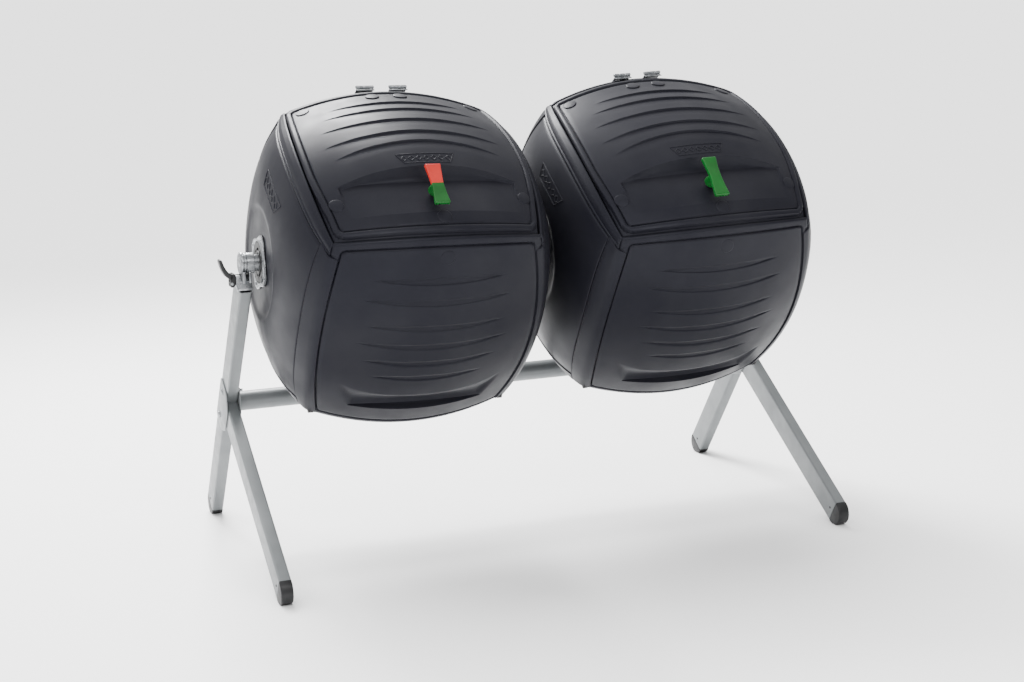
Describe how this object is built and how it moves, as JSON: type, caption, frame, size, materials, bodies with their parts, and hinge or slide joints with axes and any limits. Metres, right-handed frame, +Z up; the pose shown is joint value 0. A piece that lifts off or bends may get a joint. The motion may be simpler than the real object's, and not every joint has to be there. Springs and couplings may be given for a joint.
{
  "type": "compost tumbler",
  "caption": "Twin compost tumbler: pillow-shaped drums with hinged latching lids turn on one axle carried by a steel frame with splayed legs and a crossbar.",
  "frame": {"origin": "on the ground, under the middle of the object's box", "axes": "+Z up, +X along the axle, -Y towards the user's side, where the lids face"},
  "size_m": [1.5804, 0.9356, 1.1599],
  "materials": {
    "drum_plastic": "satin, near-black with a slight blue tint",
    "black_plastic": "matte moulded",
    "frame_paint": "silver-grey powder coat",
    "zinc": "galvanised",
    "handle_plastic": "green moulded, one half red on one handle"
  },
  "bodies": {
    "stand": {"crossbar": "frame_paint", "axle": "zinc", "left_main_leg": "frame_paint", "left_front_leg": "frame_paint", "left_outer_gusset": "frame_paint", "left_inner_gusset": "frame_paint", "left_joint_bolt_1": "zinc", "left_joint_bolt_2": "zinc", "left_rear_foot": "black_plastic", "left_front_foot": "black_plastic", "left_axle_saddle": "zinc", "left_axle_cap": "zinc", "left_lever_bracket": "zinc", "right_main_leg": "frame_paint", "right_front_leg": "frame_paint", "right_outer_gusset": "frame_paint", "right_inner_gusset": "frame_paint", "right_joint_bolt_1": "zinc", "right_joint_bolt_2": "zinc", "right_rear_foot": "black_plastic", "right_front_foot": "black_plastic", "right_axle_saddle": "zinc", "right_axle_cap": "zinc", "right_lever_bracket": "zinc"},
    "left_lever": {"left_lock_lever": "black_plastic"},
    "left_drum": {"left_outer_end_panel": "drum_plastic", "left_inner_end_panel": "drum_plastic", "left_front_panel": "drum_plastic", "left_rear_upper_panel": "drum_plastic", "left_rear_lower_panel": "drum_plastic", "left_outer_hub_plate": "zinc", "left_inner_hub_plate": "zinc", "left_outer_bush": "black_plastic", "left_inner_bush": "black_plastic", "left_latch_strike": "zinc", "left_hinge_base_a": "zinc", "left_hinge_base_b": "zinc"},
    "left_lid": {"left_lid": "drum_plastic", "left_hinge_leaf_a": "zinc", "left_hinge_leaf_b": "zinc"},
    "left_latch": {"left_latch_handle": "handle_plastic", "left_latch_tongue": "zinc"},
    "right_lever": {"right_lock_lever": "black_plastic"},
    "right_drum": {"right_outer_end_panel": "drum_plastic", "right_inner_end_panel": "drum_plastic", "right_front_panel": "drum_plastic", "right_rear_upper_panel": "drum_plastic", "right_rear_lower_panel": "drum_plastic", "right_outer_hub_plate": "zinc", "right_inner_hub_plate": "zinc", "right_outer_bush": "black_plastic", "right_inner_bush": "black_plastic", "right_latch_strike": "zinc", "right_hinge_base_a": "zinc", "right_hinge_base_b": "zinc"},
    "right_lid": {"right_lid": "drum_plastic", "right_hinge_leaf_a": "zinc", "right_hinge_leaf_b": "zinc"},
    "right_latch": {"right_latch_handle": "handle_plastic", "right_latch_tongue": "zinc"}
  },
  "joints": [
    {"name": "left_drum_spin", "type": "hinge", "parent": "stand", "child": "left_drum", "pos_m": [-0.35016, -0.06512, 0.74186], "axis": [0.9996, 0, -0.0293], "continuous": true},
    {"name": "left_lid_hinge", "type": "hinge", "parent": "left_drum", "child": "left_lid", "pos_m": [-0.33831, 0.03493, 1.14599], "axis": [-0.9996, 0, 0.0293], "range_deg": [0, 115]},
    {"name": "left_latch_turn", "type": "hinge", "parent": "left_lid", "child": "left_latch", "pos_m": [-0.34449, -0.38477, 0.93532], "axis": [0.0203, -0.7201, 0.6935], "range_deg": [0, 90]},
    {"name": "left_lever_swing", "type": "hinge", "parent": "stand", "child": "left_lever", "pos_m": [-0.759, -0.09512, 0.71], "axis": [0, -1, 0], "range_deg": [0, 70]},
    {"name": "right_drum_spin", "type": "hinge", "parent": "stand", "child": "right_drum", "pos_m": [0.35016, -0.06512, 0.74186], "axis": [0.9996, 0, 0.0293], "continuous": true},
    {"name": "right_lid_hinge", "type": "hinge", "parent": "right_drum", "child": "right_lid", "pos_m": [0.33815, 0.00864, 1.1516], "axis": [-0.9996, 0, -0.0293], "range_deg": [0, 115]},
    {"name": "right_latch_turn", "type": "hinge", "parent": "right_lid", "child": "right_latch", "pos_m": [0.34511, -0.3966, 0.9143], "axis": [-0.0189, -0.7634, 0.6456], "range_deg": [0, 90]},
    {"name": "right_lever_swing", "type": "hinge", "parent": "stand", "child": "right_lever", "pos_m": [0.759, -0.09512, 0.71], "axis": [0, 1, 0], "range_deg": [0, 70]}
  ]
}
